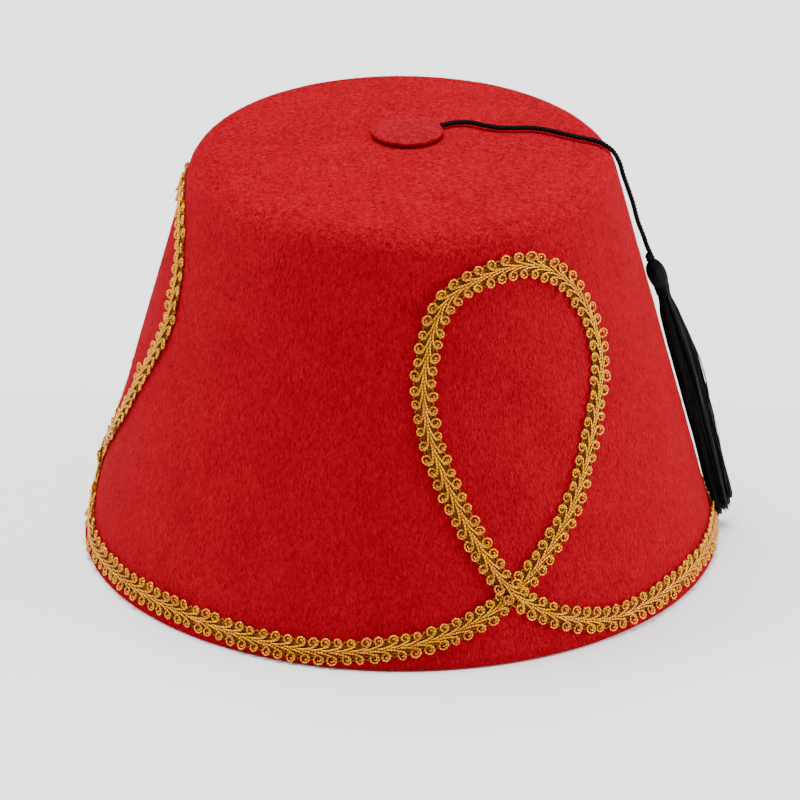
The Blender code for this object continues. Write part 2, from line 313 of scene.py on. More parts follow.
class Nodes:
    """A small helper that wires a material's node tree."""

    def __init__(self, name: str) -> None:
        """Start a material with a Principled shader and nothing linked to it."""
        self.material = bpy.data.materials.new(name)
        self.material.use_nodes = True
        self.tree = self.material.node_tree
        self.shader = self.tree.nodes["Principled BSDF"]

    def add(self, kind: str, **settings: object) -> bpy.types.Node:
        """Add a node and set its own properties."""
        node = self.tree.nodes.new(kind)
        for key, value in settings.items():
            setattr(node, key, value)
        return node

    def feed(self, socket: bpy.types.NodeSocket, value: object) -> None:
        """Link an output to a socket, or set the socket to a plain value."""
        if isinstance(value, bpy.types.NodeSocket):
            self.tree.links.new(value, socket)
        else:
            socket.default_value = value

    def read(self, node: bpy.types.Node, output: str, **inputs: object) -> bpy.types.NodeSocket:
        """Feed a node's inputs, with underscores for spaces in their names, and read it."""
        for name, value in inputs.items():
            self.feed(node.inputs[name.replace("_", " ")], value)
        return node.outputs[output]

    def math(self, operation: str, first: object, second: object = 0.0) -> bpy.types.NodeSocket:
        """Work out a number from one or two others."""
        node = self.add("ShaderNodeMath", operation=operation)
        for socket, value in zip(node.inputs, (first, second)):
            self.feed(socket, value)
        return node.outputs[0]

    def noise(self, place: bpy.types.NodeSocket, scale: float, detail: float = 2.0,
              roughness: float = 0.5, distortion: float = 0.0) -> bpy.types.NodeSocket:
        """Read a noise texture at a place."""
        return self.read(self.add("ShaderNodeTexNoise"), "Fac", Vector=place, Scale=scale,
                         Detail=detail, Roughness=roughness, Distortion=distortion)

    def stretched(self, place: bpy.types.NodeSocket, scale: tuple[float, float, float],
                  turn: tuple[float, float, float]) -> bpy.types.NodeSocket:
        """Turn and stretch the coordinates that a pattern is read at."""
        return self.read(self.add("ShaderNodeMapping"), "Vector", Vector=place, Rotation=turn,
                         Scale=scale)

    def ramp(self, value: bpy.types.NodeSocket, low: float, high: float, start: float = 0.0,
             end: float = 1.0) -> bpy.types.NodeSocket:
        """Map a range of a value onto another, and hold it there."""
        return self.read(self.add("ShaderNodeMapRange"), "Result", Value=value, From_Min=low,
                         From_Max=high, To_Min=start, To_Max=end)

    def blend(self, share: object, first: object, second: object) -> bpy.types.NodeSocket:
        """Mix two colours."""
        return self.read(self.add("ShaderNodeMix", data_type="RGBA"), "Result", Factor=share,
                         A=first, B=second)

    def bump(self, height: bpy.types.NodeSocket, distance: float) -> None:
        """Add relief to the shader's surface."""
        normal = self.read(self.add("ShaderNodeBump"), "Normal", Height=height,
                           Distance=distance, Strength=1.0)
        self.feed(self.shader.inputs["Normal"], normal)

    def set(self, **values: float) -> None:
        """Set the shader's constant sockets, with spaces in their names as underscores."""
        for key, value in values.items():
            self.shader.inputs[key.replace("_", " ")].default_value = value


def linear(red: int, green: int, blue: int) -> tuple[float, float, float, float]:
    """Turn a colour as a screen shows it, 0 to 255, into Blender's linear values."""
    def channel(value: int) -> float:
        """Turn one channel."""
        share = value / 255
        return share / 12.92 if share <= 0.04045 else ((share + 0.055) / 1.055) ** 2.4
    return channel(red), channel(green), channel(blue), 1.0


@dataclass(frozen=True)
class FeltFinish:
    """Pressed wool felt: tangled fibres, a soft nap and a faint sheen."""

    name: str
    deep: tuple[int, int, int]
    body: tuple[int, int, int]
    light: tuple[int, int, int]
    relief: float = 0.00034
    top_edge: tuple[float, float] = (0.116, 0.1235)
    wall_flecks: float = 0.03
    top_flecks: float = 0.29

    # Scales of the patterns, in cells to a metre
    GRAIN = (1900.0, 1900.0, 300.0)
    CLUMPS = 1450.0
    PITS = 1900.0
    FLECKS = 820.0
    PATCHES = 60.0
    # Turns of the three layers of fibres, in radians
    TANGLE_TURNS = ((0.10, 0.06, 0.0), (-0.12, 0.14, 0.4), (0.30, -0.25, 0.9))

    def make(self) -> bpy.types.Material:
        """Build the material on Object coordinates."""
        nodes = Nodes(self.name)
        place = nodes.add("ShaderNodeTexCoord").outputs["Object"]
        fibres = []
        for number, turn in enumerate(self.TANGLE_TURNS):
            across = nodes.stretched(place, self.GRAIN, turn)
            fibres.append(nodes.noise(across, 1.0 + 0.17 * number, 2.0, 0.55, 0.5))
        tangle = nodes.math("MAXIMUM", nodes.math("MAXIMUM", fibres[0], fibres[1]), fibres[2])
        tangle = nodes.ramp(tangle, 0.50, 0.78)
        drawn_out = nodes.stretched(place, (1.0, 1.0, 0.38), (0.08, 0.1, 0.0))
        clumps = nodes.ramp(nodes.noise(drawn_out, self.CLUMPS, 3.0, 0.65, 0.8), 0.32, 0.68)
        patches = nodes.ramp(nodes.noise(place, self.PATCHES, 4.0, 0.6), 0.30, 0.70)
        pits = nodes.ramp(nodes.noise(place, self.PITS, 2.0, 0.6), 0.22, 0.55)
        height = nodes.add("ShaderNodeSeparateXYZ")
        nodes.feed(height.inputs[0], place)
        upward = nodes.ramp(height.outputs["Z"], *self.top_edge)
        flecks = nodes.ramp(nodes.noise(place, self.FLECKS, 3.0, 0.7, 0.6), 0.36, 0.64, -1.0, 1.0)
        strength = nodes.ramp(upward, 0.0, 1.0, self.wall_flecks, self.top_flecks)
        flecks = nodes.math("MULTIPLY", flecks, strength)
        colour = nodes.blend(clumps, linear(*self.deep), linear(*self.body))
        colour = nodes.blend(nodes.math("MULTIPLY", tangle, 0.5), colour, linear(*self.light))
        shade = nodes.math("MULTIPLY", nodes.ramp(patches, 0.0, 1.0, 0.93, 1.06),
                           nodes.ramp(pits, 0.0, 1.0, 0.82, 1.0))
        hue = nodes.add("ShaderNodeHueSaturation")
        nodes.feed(hue.inputs["Color"], colour)
        nodes.feed(hue.inputs["Value"], nodes.math("ADD", shade, flecks))
        nodes.feed(nodes.shader.inputs["Base Color"], hue.outputs["Color"])
        raised = nodes.math("ADD", nodes.math("MULTIPLY", clumps, 0.7),
                            nodes.math("MULTIPLY", tangle, 0.6))
        nodes.bump(nodes.math("ADD", raised, nodes.math("MULTIPLY", pits, 0.4)), self.relief)
        nodes.set(Roughness=0.95, Sheen_Weight=0.09, Sheen_Roughness=0.4, Specular_IOR_Level=0.02)
        nodes.shader.inputs["Sheen Tint"].default_value = (1.0, 0.10, 0.10, 1.0)
        return nodes.material


@dataclass(frozen=True)
class ThreadFinish:
    """Wound or twisted thread, with fine slanting windings along each strand, painted shade in
    their hollows and painted highlight on their crests.
    """

    name: str
    # Colour in the windings' hollows, darkened as painted shade, and on their crests, lightened
    # as painted highlight
    hollow_shade: tuple[int, int, int]
    crest_highlight: tuple[int, int, int]
    winding: float
    slant: float
    roughness: float
    metallic: float = 0.0
    specular: float = 0.5
    sheen: float = 0.0
    relief: float = 0.00006
    # A painted glint colour, mixed into the crests in patches
    glint: tuple[int, int, int] | None = None

    # Scales of the patterns, in cells to a metre
    UNEVENNESS = 900.0
    GLINT_PATCHES = 150.0

    def make(self) -> bpy.types.Material:
        """Build the material on the strands' own UV map, along and round each one."""
        nodes = Nodes(self.name)
        wrap = nodes.add("ShaderNodeUVMap", uv_map="thread").outputs["UV"]
        split = nodes.add("ShaderNodeSeparateXYZ")
        nodes.feed(split.inputs[0], wrap)
        along = nodes.math("MULTIPLY", split.outputs["X"], 1.0 / self.winding)
        turns = nodes.math("ADD", along, nodes.math("MULTIPLY", split.outputs["Y"], self.slant))
        wave = nodes.math("SINE", nodes.math("MULTIPLY", turns, math.tau))
        wave = nodes.ramp(wave, -1.0, 1.0)
        place = nodes.add("ShaderNodeTexCoord").outputs["Object"]
        uneven = nodes.ramp(nodes.noise(place, self.UNEVENNESS, 3.0, 0.6), 0.28, 0.72)
        # The windings' relief picks the colour: painted shade where they sink, painted highlight
        # where they rise, plus random unevenness
        share = nodes.math("ADD", nodes.math("MULTIPLY", wave, 0.55),
                           nodes.math("MULTIPLY", uneven, 0.5))
        crest_highlight = linear(*self.crest_highlight)
        if self.glint:
            # Patches where the crests take the painted glint
            glint_patches = nodes.ramp(nodes.noise(place, self.GLINT_PATCHES, 2.0), 0.40, 0.60)
            crest_highlight = nodes.blend(glint_patches, crest_highlight, linear(*self.glint))
        nodes.feed(nodes.shader.inputs["Base Color"],
                   nodes.blend(share, linear(*self.hollow_shade), crest_highlight))
        nodes.bump(nodes.math("ADD", wave, nodes.math("MULTIPLY", uneven, 0.3)), self.relief)
        nodes.feed(nodes.shader.inputs["Roughness"],
                   nodes.ramp(uneven, 0.0, 1.0, self.roughness + 0.12, self.roughness - 0.06))
        nodes.set(Metallic=self.metallic, Specular_IOR_Level=self.specular,
                  Sheen_Weight=self.sheen, Sheen_Roughness=0.35)
        return nodes.material


@dataclass(frozen=True)
class FloorFinish:
    """A plain matt pale table top."""

    name: str = "pale_floor"
    colour: tuple[int, int, int] = (252, 252, 252)

    def make(self) -> bpy.types.Material:
        """Build the material."""
        nodes = Nodes(self.name)
        nodes.feed(nodes.shader.inputs["Base Color"], linear(*self.colour))
        nodes.set(Roughness=0.65, Specular_IOR_Level=0.25)
        return nodes.material


FELT = FeltFinish("red_felt", deep=(124, 1, 18), body=(170, 3, 26), light=(210, 18, 40))
BUTTON_FELT = FeltFinish("button_felt", deep=(124, 4, 20), body=(158, 12, 30),
                         light=(192, 36, 54), relief=0.0003)
# The threads' colours in the windings' hollows are painted shade, and on their crests painted
# highlight
GOLD = ThreadFinish("gold_thread", hollow_shade=(154, 74, 5), crest_highlight=(255, 174, 58), winding=0.95 * MM,
                    slant=1.0, roughness=0.30, metallic=0.80, specular=0.3, relief=0.00010,
                    glint=(255, 196, 26))
# A darker copy of the gold for the footing threads: painted shade in the gaps between the scrolls
SHADED_GOLD_FOOT = ThreadFinish("shaded_gold_footing", hollow_shade=(86, 38, 2), crest_highlight=(172, 98, 10),
                         winding=0.60 * MM, slant=1.0, roughness=0.5, metallic=0.2, specular=0.2)
BLACK_CORD = ThreadFinish("black_cord", hollow_shade=(0, 0, 1), crest_highlight=(12, 11, 12), winding=0.28 * MM,
                          slant=1.0, roughness=0.55, specular=0.08)
BLACK_SILK = ThreadFinish("black_silk", hollow_shade=(0, 0, 0), crest_highlight=(3, 3, 4), winding=0.6 * MM,
                          slant=2.0, roughness=0.30, specular=0.12, relief=0.00003)


def deselect() -> None:
    """Leave edit mode and select nothing."""
    if bpy.context.object and bpy.context.object.mode != "OBJECT":
        bpy.ops.object.mode_set(mode="OBJECT")
    bpy.ops.object.select_all(action="DESELECT")


def pick(piece: bpy.types.Object) -> None:
    """Select one piece alone and make it the active one."""
    deselect()
    piece.select_set(True)
    bpy.context.view_layer.objects.active = piece


def settle(piece: bpy.types.Object) -> None:
    """Apply a piece's place, turn and scale to its mesh."""
    pick(piece)
    bpy.ops.object.transform_apply(location=True, rotation=True, scale=True)


def apply_modifiers(piece: bpy.types.Object) -> None:
    """Apply all of a piece's modifiers in their order."""
    pick(piece)
    for modifier in list(piece.modifiers):
        bpy.ops.object.modifier_apply(modifier=modifier.name)


def dress(piece: bpy.types.Object, material: bpy.types.Material, slot: Slot,
          *nodes: str) -> bpy.types.Object:
    """Give a piece its material and body, hide the CAD nodes that it stands for, and log it.

    Args:
        piece: the finished piece.
        material: the finish on all of it.
        slot: the record's slot that the finish belongs to; not used.
        nodes: the CAD nodes that it replaces.

    Returns:
        The piece.
    """
    piece.data.materials.clear()
    piece.data.materials.append(material)
    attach(piece, BODY)
    if nodes:
        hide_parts(*nodes)
    log.info("%s: %d faces", piece.name, len(piece.data.polygons))
    return piece


def raise_rings(outline: np.ndarray, sides: int, name: str) -> bpy.types.Object:
    """Model a round shell by extruding a circle from ring to ring and closing the top.

    Args:
        outline: one row of radius and height for each ring, from the open end.
        sides: points round each ring.
        name: the new object's name.

    Returns:
        The open shell.
    """
    deselect()
    radius, height = (float(value) for value in outline[0])
    bpy.ops.mesh.primitive_circle_add(vertices=sides, radius=radius, location=(0, 0, height))
    piece = bpy.context.object
    piece.name = name
    bpy.ops.object.mode_set(mode="EDIT")
    bpy.ops.mesh.select_all(action="SELECT")
    for next_radius, next_height in outline[1:]:
        step = (0.0, 0.0, float(next_height) - height)
        bpy.ops.mesh.extrude_region_move(TRANSFORM_OT_translate={"value": step})
        share = float(next_radius) / radius
        radius, height = float(next_radius), float(next_height)
        bpy.ops.transform.resize(value=(share, share, 1.0), center_override=(0.0, 0.0, height))
    bpy.ops.mesh.extrude_region_move(TRANSFORM_OT_translate={"value": (0.0, 0.0, 0.0)})
    bpy.ops.mesh.merge(type="CENTER")
    bpy.ops.mesh.select_all(action="SELECT")
    bpy.ops.mesh.normals_make_consistent(inside=False)
    bpy.ops.object.mode_set(mode="OBJECT")
    settle(piece)
    return piece


@dataclass
class Crown:
    """The felt body, a thin shell, and its cut rim."""

    form: CrownForm
    sides: int = 180
    wall_steps: int = 40
    shoulder_steps: int = 10
    top_steps: int = 18
    unevenness: float = 0.00012
    swells_to_metre: float = 38.0
    ripples_to_metre: float = 110.0
    rim_rounding: float = 0.0004

    def body(self) -> bpy.types.Object:
        """Model the shell, thicken it inwards, and level and soften its rim."""
        outline = self.form.outline(self.wall_steps, self.shoulder_steps, self.top_steps)
        shell = raise_rings(outline, self.sides, "felt_crown")
        self.soften(shell)
        wall = shell.modifiers.new("thickness", "SOLIDIFY")
        wall.thickness = self.form.thickness
        wall.offset = -1.0
        apply_modifiers(shell)
        self.level_rim(shell)
        shell.data.shade_smooth()
        return shell

    def soften(self, shell: bpy.types.Object) -> None:
        """Move the surface in and out a little, as pressed felt is never quite true."""
        for vertex in shell.data.vertices:
            place = vertex.co.copy()
            swell = noise.noise(place * self.swells_to_metre)
            lift = swell + 0.5 * noise.noise(place * self.ripples_to_metre)
            vertex.co = place + vertex.normal * (lift * self.unevenness)

    def level_rim(self, shell: bpy.types.Object) -> None:
        """Stand the square-cut rim on its inner edge and round both edges over."""
        deselect()
        bpy.context.view_layer.objects.active = shell
        bpy.ops.object.mode_set(mode="EDIT")
        bpy.ops.mesh.select_all(action="DESELECT")
        bm = bmesh.from_edit_mesh(shell.data)
        outer_level = self.form.thickness * math.sin(self.form.lean)
        middle_radius = self.form.rim_radius - self.form.thickness / 2
        rim = {vertex for vertex in bm.verts if vertex.co.z < self.form.thickness / 2}
        for vertex in rim:
            outside = vertex.co.xy.length > middle_radius
            vertex.co.z = outer_level if outside else 0.0
        for edge in bm.edges:
            level = abs(edge.verts[0].co.z - edge.verts[1].co.z) < outer_level / 2
            edge.select = level and rim.issuperset(edge.verts)
        bmesh.update_edit_mesh(shell.data)
        bpy.ops.mesh.bevel(offset=self.rim_rounding, segments=3, profile=0.5, affect="EDGES")
        bpy.ops.mesh.select_all(action="SELECT")
        bpy.ops.mesh.normals_make_consistent(inside=False)
        bpy.ops.object.mode_set(mode="OBJECT")

    def build(self, felt: bpy.types.Material) -> None:
        """Make the shell and dress it in place of the CAD crown."""
        dress(self.body(), felt, Slot.FELT, "crown")


@dataclass
class Nap:
    """Loose fibres that lie over the felt and blur its outline."""

    form: CrownForm
    wall_fibres: int = 13000
    top_fibres: int = 7000
    length: float = 0.0013
    length_shares: tuple[float, float] = (0.5, 1.5)
    thickness: float = 0.000035
    thickness_shares: tuple[float, ...] = (0.6, 1.0, 0.9, 0.3)
    curl: float = 0.55
    stand: tuple[float, float] = (0.05, 0.55)
    arch: float = 2.4
    downward: float = 1.4
    sunk: float = 0.00005
    lowest_root: float = 0.0024
    lowest_point: float = 0.0001
    seed: int = 5

    def strew(self, name: str, roots: np.ndarray, outward: np.ndarray, grain: np.ndarray,
              random: np.random.Generator) -> bpy.types.Object:
        """Grow one fibre from each root, lying nearly flat and curling a little.

        Args:
            name: the new object's name.
            roots: where the fibres leave the felt.
            outward: the felt's normal at each root.
            grain: the way that the fibres tend to lie, longer where they tend more.
            random: the source of the fibres' directions and lengths.

        Returns:
            One mesh of all the fibres.
        """
        count = len(roots)
        side = unit(unit(np.cross(outward, random.normal(size=(count, 3)))) + grain)
        other = np.cross(outward, side)
        length = self.length * random.uniform(*self.length_shares, count)
        stand = random.uniform(*self.stand, count) ** 1.5
        curl = random.normal(0.0, self.curl, count)
        share = np.linspace(0.0, 1.0, len(self.thickness_shares))
        run = share[None, :] * length[:, None]
        lift = np.sin(share * self.arch)[None, :] * stand[:, None] * length[:, None] - self.sunk
        bend = (share ** 2)[None, :] * (curl * length)[:, None]
        paths = (roots[:, None, :] + side[:, None, :] * run[:, :, None]
                 + other[:, None, :] * bend[:, :, None] + outward[:, None, :] * lift[:, :, None])
        paths[..., 2] = np.maximum(paths[..., 2], self.lowest_point)
        radii = np.broadcast_to(self.thickness * np.array(self.thickness_shares), run.shape) / 2
        strands = Strands(name)
        strands.add(paths, np.broadcast_to(outward[:, None, :], paths.shape), radii, 3)
        return strands.build()

    def build(self, felt: bpy.types.Material) -> None:
        """Strew the wall and the top with fibres."""
        random = np.random.default_rng(self.seed)
        _, shoulder_height = self.form.shoulder_centre()
        share = random.uniform(0.0, 1.0, self.wall_fibres)
        taper = math.tan(self.form.lean)
        low, high = (self.form.rim_radius - level * taper
                     for level in (self.lowest_root, shoulder_height))
        radius = np.sqrt(low ** 2 - share * (low ** 2 - high ** 2))
        height = (self.form.rim_radius - radius) / taper
        angle = random.uniform(0.0, 360.0, self.wall_fibres)
        outward, _, up_wall = self.form.wall_directions(angle)
        roots = self.form.on_wall(angle, height, 0.0)
        for name, half in (("wall_nap_front", angle >= 180.0), ("wall_nap_back", angle < 180.0)):
            grain = up_wall[half] * -self.downward
            dress(self.strew(name, roots[half], outward[half], grain, random), felt, Slot.FELT)
        roots, outward = self.top_roots(random)
        dress(self.strew("top_nap", roots, outward, np.zeros(3), random), felt, Slot.FELT)

    def top_roots(self, random: np.random.Generator) -> tuple[np.ndarray, np.ndarray]:
        """Spread roots over the top and round the shoulder."""
        rings = self.form.outline(1, 24, 40)[1:]
        rings = np.concatenate((rings, [[0.0, self.form.height]]))
        lengths = lengths_along(rings)
        areas = np.diff(lengths) * (rings[:-1, 0] + rings[1:, 0])
        reach = np.concatenate(([0.0], np.cumsum(areas)))
        distance = np.interp(random.uniform(0.0, reach[-1], self.top_fibres), reach, lengths)
        place = read_at(rings, lengths, distance)
        slopes = unit(read_at(np.gradient(rings, axis=0), lengths, distance))
        turn = random.uniform(0.0, math.tau, self.top_fibres)
        around = np.stack((np.cos(turn), np.sin(turn)), axis=1)
        roots = np.concatenate((around * place[:, :1], place[:, 1:]), axis=1)
        outward = np.concatenate((around * slopes[:, 1:], -slopes[:, :1]), axis=1)
        return roots, outward


@dataclass
class Button:
    """The small felt disc on the middle of the top, cut by hand."""

    form: CrownForm
    radius: float = 0.01075
    thickness: float = 0.0016
    place: tuple[float, float] = (0.0012, 0.004)
    gap: float = 0.0003
    rounding: float = 0.00055
    undercut: float = 0.02
    cut_zone: float = 0.8
    cut_roughness: float = 0.00022
    swell: float = 0.00007
    droop: float = 0.00012
    insets: int = 9
    sides: int = 96

    def build(self, felt: bpy.types.Material) -> None:
        """Model the disc, rough its cut edge and dress it in place of the CAD button."""
        deselect()
        middle = (*self.place, self.form.height + self.gap + self.thickness / 2)
        bpy.ops.mesh.primitive_cylinder_add(vertices=self.sides, radius=self.radius,
                                            depth=self.thickness, location=middle)
        disc = bpy.context.object
        disc.name = "felt_button"
        settle(disc)
        bpy.ops.object.mode_set(mode="EDIT")
        bpy.ops.mesh.select_all(action="DESELECT")
        bm = bmesh.from_edit_mesh(disc.data)
        for face in bm.faces:
            face.select = face.normal.z > 0.9
        bm.select_flush(True)
        bmesh.update_edit_mesh(disc.data)
        for _ in range(self.insets):
            bpy.ops.mesh.inset(thickness=self.radius / (self.insets + 1.5))
        bpy.ops.mesh.poke()
        bpy.ops.object.mode_set(mode="OBJECT")
        edge = disc.modifiers.new("edge", "BEVEL")
        edge.width = self.rounding
        edge.segments = 3
        edge.limit_method = "ANGLE"
        apply_modifiers(disc)
        for vertex in disc.data.vertices:
            self.roughen(vertex)
        disc.data.shade_smooth()
        dress(disc, felt, Slot.BUTTON, "button")

    def roughen(self, vertex: bpy.types.MeshVertex) -> None:
        """Move one point of the disc as scissors and pressing leave it."""
        place = vertex.co.copy()
        middle = Vector((*self.place, place.z))
        out = place - middle
        share = min(out.length / self.radius, 1.0)
        swell = noise.noise(Vector((place.x, place.y, 0.0)) * 260.0)
        ragged = noise.noise(Vector((math.atan2(out.y, out.x) * 5.0, 0.3, 0.0)))
        if share > self.cut_zone:
            near_edge = (share - self.cut_zone) / (1.0 - self.cut_zone)
            vertex.co += out.normalized() * (self.cut_roughness * ragged * near_edge)
        if place.z > self.form.height + self.gap + self.thickness / 2:
            vertex.co.z += self.swell * swell - self.droop * share ** 6
        else:
            vertex.co -= out * self.undercut


@dataclass
class BraidStrip:
    """The whole strip's route on the wall, and the way its flat layout bends onto it."""

    form: CrownForm
    motifs: int = 3
    over_row: int = 6
    crossing_reach: float = 0.0032
    crossing_ramp: float = 0.0024
    lift: float = 0.0009
    gap: float = 0.00012
    steps: int = 24

    def __post_init__(self) -> None:
        """Work out the route's fine points, directions and crossings."""
        rows = [(angle - 360.0 / self.motifs * motif, share * self.form.height)
                for motif in range(self.motifs + 2) for angle, share in BRAID_ROUTE]
        first = len(BRAID_ROUTE)
        route = spline_points(np.array(rows), first, first * (self.motifs + 1), self.steps)
        points = self.form.on_wall(route[:, 0], route[:, 1], self.gap)
        self.route = route
        self.lengths = lengths_along(points)
        self.length = float(self.lengths[-1])
        along = unit(np.gradient(points, axis=0))
        outward, round_hat, up_wall = self.form.wall_directions(route[:, 0])
        across = np.cross(outward, along)
        self.side = np.stack(((across * round_hat).sum(1), (across * up_wall).sum(1)), axis=1)
        self.crossings = [self.lengths[(motif * first + self.over_row) * self.steps]
                          for motif in range(self.motifs)]

    def raised(self, distance: np.ndarray) -> np.ndarray:
        """How far the strip is lifted where it passes over itself."""
        result = np.zeros_like(distance)
        for crossing in self.crossings:
            away = np.abs(distance - crossing) - self.crossing_reach
            result = np.maximum(result, self.lift * smooth_rise(1 - away / self.crossing_ramp))
        return result

    def bend(self, flat: np.ndarray, lifted: float = 1.0) -> np.ndarray:
        """Bend points of the flat layout onto the wall.

        Args:
            flat: distance along, place across and height over the felt, on the last axis.
            lifted: how much of the lift at a crossing these points take.

        Returns:
            The points in the hat's frame.
        """
        along = flat[..., 0] % self.length
        route = read_at(self.route, self.lengths, along)
        side = unit(read_at(self.side, self.lengths, along)) * flat[..., 1:2]
        radius = self.form.rim_radius - route[..., 1] * math.tan(self.form.lean)
        angle = route[..., 0] + np.degrees(side[..., 0] / radius)
        height = route[..., 1] + side[..., 1] * math.cos(self.form.lean)
        proud = flat[..., 2] + self.gap + self.raised(along) * lifted
        return self.form.on_wall(angle, height, proud)

    def outward(self, flat: np.ndarray) -> np.ndarray:
        """Give the wall's normal at points of the flat layout."""
        route = read_at(self.route, self.lengths, flat[..., 0] % self.length)
        return self.form.wall_directions(route[..., 0])[0]


@dataclass
class Braid:
    """The gold scroll braid: a core, and two rows of scrolls whose tails plait over it."""

    strip: BraidStrip
    scrolls: int = 334
    thread: float = 0.00058
    scroll_radius: float = 0.00124
    scroll_middle: float = 0.00243
    end_shares: tuple[float, float] = (0.6, 0.75)
    misplaced: float = 0.05
    tail_spread: float = 0.10
    core_height: float = 0.00042
    core_thread: float = 0.000812
    footing_low: float = 0.0004
    footing_peaks: tuple[float, float] = (0.0028, 0.0022)
    footing_height: float = 0.00024
    footing_thread: float = 0.00066
    footing_lifted: float = 0.5
    ground_places: tuple[float, ...] = (-0.0016, -0.0006, 0.0006, 0.0016)
    ground_height: float = 0.00010
    ground_thread: float = 0.00120
    ground_flatness: float = 0.3
    sides: int = 5
    seed: int = 11

    # Rows of a scroll's tail, from its hidden end in the stem: distance ahead of the scroll
    # in pitches, place across in millimetres, and height over the felt in millimetres
    TAIL = (
        (1.62, 0.05, 0.40),
        (1.25, 0.20, 0.86),
        (0.90, 0.28, 1.08),
        (0.56, 0.46, 1.06),
        (0.24, 0.82, 0.96),
        (0.00, 1.10, 0.84),
    )
    # Rows of the scroll itself: turn round its middle in degrees, radius as a share of the
    # scroll's, and height over the felt in millimetres
    SCROLL = (
        (242.0, 1.05, 0.74),
        (212.0, 1.02, 0.60),
        (182.0, 1.00, 0.52),
        (152.0, 1.00, 0.48),
        (122.0, 1.00, 0.46),
        (92.0, 1.00, 0.45),
        (62.0, 1.00, 0.45),
        (32.0, 1.00, 0.45),
        (2.0, 1.00, 0.44),
        (-28.0, 0.98, 0.43),
        (-60.0, 0.94, 0.42),
        (-94.0, 0.86, 0.42),
        (-130.0, 0.74, 0.44),
        (-170.0, 0.60, 0.47),
        (-216.0, 0.47, 0.50),
        (-268.0, 0.35, 0.50),
        (-330.0, 0.24, 0.44),
    )
    # How scrolls differ, with a row each for size, squeeze along the strip, lean, rise and
    # tilt towards the strip's edge: middle, spread, least and most
    CHANGES = (
        (1.00, 0.065, 0.84, 1.15),
        (1.00, 0.070, 0.82, 1.15),
        (0.00, 0.120, -1.00, 1.00),
        (1.00, 0.120, 0.75, 1.35),
        (0.16, 0.150, -0.05, 0.50),
    )

    def scroll_paths(self, first: int, last: int, hand: int,
                     random: np.random.Generator) -> np.ndarray:
        """Lay out one row of scrolls with their tails on the flat strip.

        Args:
            first: number of the first scroll.
            last: number past the last one.
            hand: 1 for the row on the left of the strip's run, -1 for the right.
            random: the source of the small differences from scroll to scroll.

        Returns:
            The thread's middle lines, as scrolls by stations by three.
        """
        count = last - first
        number = np.arange(first, last) + (0.5 if hand < 0 else 0.0)
        start = (number + random.normal(0.0, self.misplaced, count)) * self.pitch
        size, squeeze, lean, rise, tilt = (
            random.normal(middle, spread, count).clip(least, most)[:, None]
            for middle, spread, least, most in self.CHANGES)
        tail, scroll = np.array(self.TAIL), np.array(self.SCROLL)
        turns, reach = np.radians(scroll[:, 0]), scroll[:, 1] * self.scroll_radius
        across = np.sin(turns) * reach * size
        along = np.cos(turns) * reach * size * squeeze + across * lean
        across = across + self.scroll_middle + (size - 1.0) * self.scroll_radius
        edgeward = across - self.scroll_middle + self.scroll_radius
        height = scroll[:, 2] * MM * rise + edgeward * tilt
        tail_along = np.broadcast_to(tail[:, 0] * self.pitch, (count, len(tail)))
        tail_across = tail[:, 1] * MM * random.normal(1.0, self.tail_spread, (count, 1))
        tail_height = np.broadcast_to(tail[:, 2] * MM, (count, len(tail)))
        return np.stack((np.concatenate((tail_along, along), axis=1) + start[:, None],
                         np.concatenate((tail_across, across), axis=1) * hand,
                         np.concatenate((tail_height, height), axis=1)), axis=-1)

    def build_stretch(self, motif: Motif, gold: bpy.types.Material) -> None:
        """Make the braid of one motif.

        Args:
            motif: the stretch of the strip.
            gold: the thread's finish.
        """
        random = np.random.default_rng(self.seed + motif.value)
        first = self.scrolls * motif.value // len(Motif)
        last = self.scrolls * (motif.value + 1) // len(Motif)
        strands = Strands(f"braid_{motif.name.lower()}")
        for hand in (1, -1):
            flat = self.scroll_paths(first, last, hand, random)
            radii = np.full(flat.shape[:2], self.thread / 2)
            radii[:, [0, -1]] *= self.end_shares
            strands.add(self.strip.bend(flat), self.strip.outward(flat), radii, self.sides)
        dress(strands.build(), gold, Slot.GOLD, "braid")

    @property
    def pitch(self) -> float:
        """Distance from one scroll to the next, so that they come out even all the way round."""
        return self.strip.length / self.scrolls

    def add_thread(self, strands: Strands, places: tuple[object, object, object],
                   thickness: float, sides: int, lifted: float = 1.0, flat: float = 1.0) -> None:
        """Add one thread that runs the strip's whole length.

        Args:
            strands: the threads that it joins.
            places: distances along, places across and heights over the felt.
            thickness: across the thread.
            sides: faces round it.
            lifted: how much of the lift at a crossing it takes.
            flat: its thickness out from the felt as a share of that across.
        """
        line = np.stack(np.broadcast_arrays(*places), axis=-1)[None]
        radii = np.full(line.shape[:2], thickness / 2)
        strands.add(self.strip.bend(line, lifted), self.strip.outward(line), radii, sides, flat)

